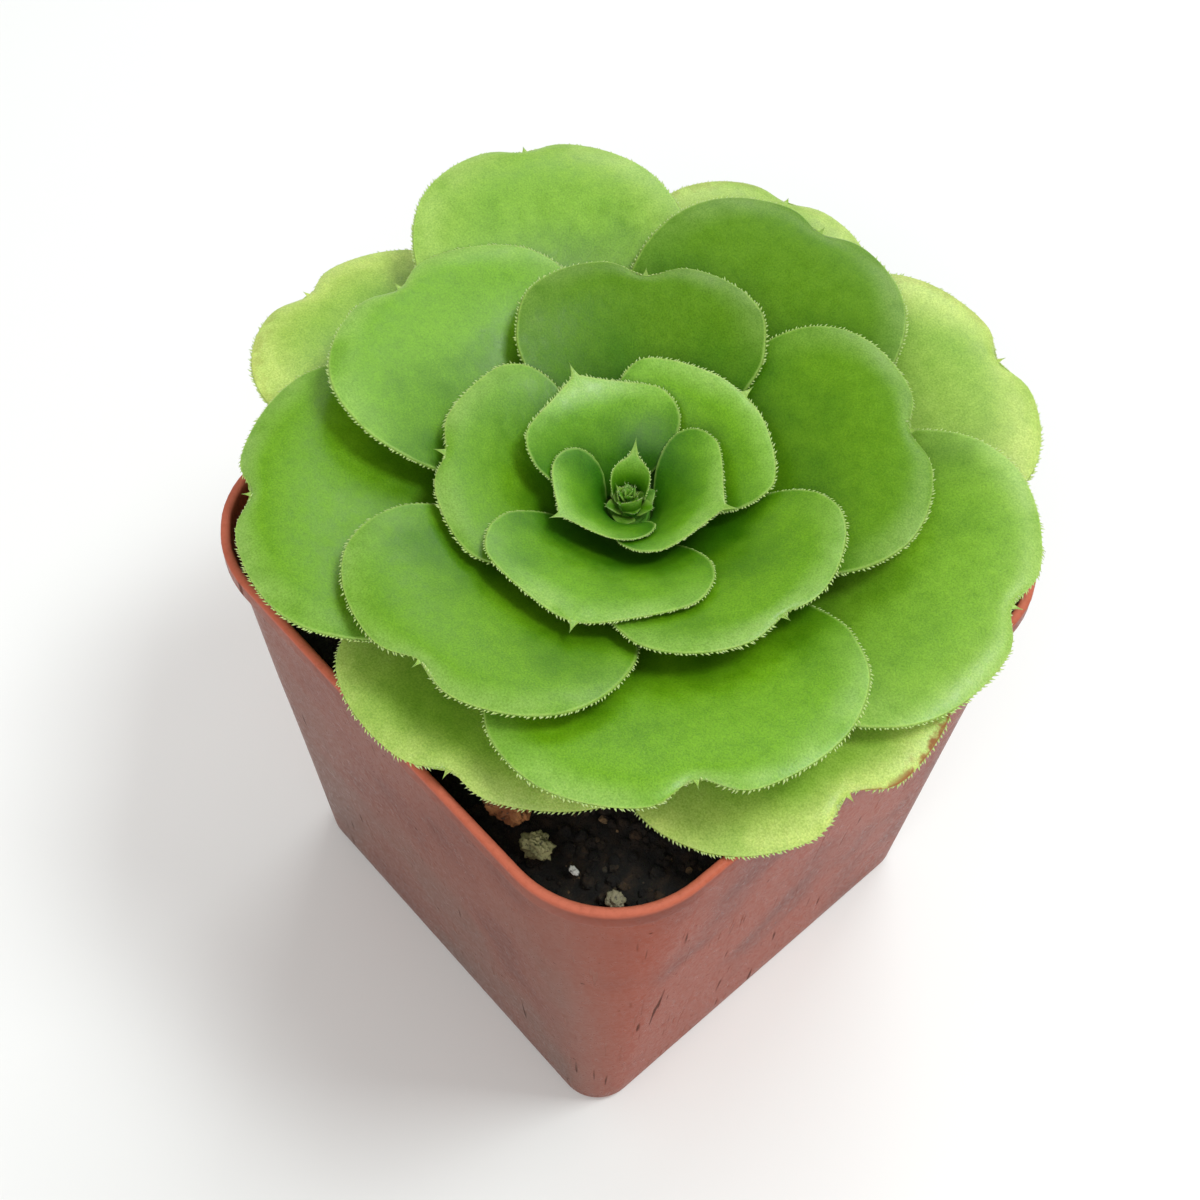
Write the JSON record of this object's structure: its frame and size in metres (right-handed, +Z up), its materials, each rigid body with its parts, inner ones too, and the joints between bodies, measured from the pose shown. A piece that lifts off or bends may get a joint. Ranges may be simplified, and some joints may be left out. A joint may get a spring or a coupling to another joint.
{
  "type": "potted aeonium",
  "caption": "Flat aeonium rosette of fleshy spoon-shaped leaves with pointed tips on a short stem, in soil in a small square nursery pot.",
  "frame": {"origin": "middle of the pot's flat underside, on the surface it stands on", "axes": "+Z up; X and Y along the pot's square sides, so that -Y is one face of the pot and +X another"},
  "size_m": [0.0904, 0.085, 0.0815],
  "materials": {
    "pot_plastic": "thin injection-moulded terracotta-brown plastic, glossy, scuffed, with a paler salmon lip",
    "potting_soil": "damp peat and bark crumbs, nearly black, with a few pale grains",
    "stem_skin": "short succulent stem, brown-green and matte, ringed with leaf scars",
    "brown_stone": "rough orange-brown pebble",
    "khaki_stone": "rough khaki grit",
    "perlite": "white porous grain",
    "leaf_skin": "fleshy leaf skin, softly velvety fresh green with a pale finely toothed margin",
    "old_leaf_skin": "fleshy leaf skin of the oldest leaves, yellow-green with a pale finely toothed margin"
  },
  "bodies": {
    "root": {"pot": "pot_plastic", "soil": "potting_soil", "stem": "stem_skin", "brown_pebble": "brown_stone", "khaki_pebble": "khaki_stone", "small_stone": "khaki_stone", "perlite_grain": "perlite", "bud_leaf_1": "leaf_skin", "bud_leaf_2": "leaf_skin", "bud_leaf_3": "leaf_skin", "leaf_01": "leaf_skin", "leaf_02": "leaf_skin", "leaf_03": "leaf_skin", "leaf_04": "leaf_skin", "leaf_05": "leaf_skin", "leaf_06": "leaf_skin", "leaf_07": "leaf_skin", "leaf_08": "leaf_skin", "leaf_09": "leaf_skin", "leaf_10": "leaf_skin", "leaf_11": "leaf_skin", "leaf_12": "leaf_skin", "leaf_13": "leaf_skin", "leaf_14": "leaf_skin", "leaf_15": "leaf_skin", "leaf_16": "leaf_skin", "leaf_17": "leaf_skin", "leaf_18": "old_leaf_skin", "leaf_19": "old_leaf_skin", "leaf_20": "old_leaf_skin", "leaf_21": "old_leaf_skin", "leaf_22": "old_leaf_skin"}
  },
  "joints": []
}
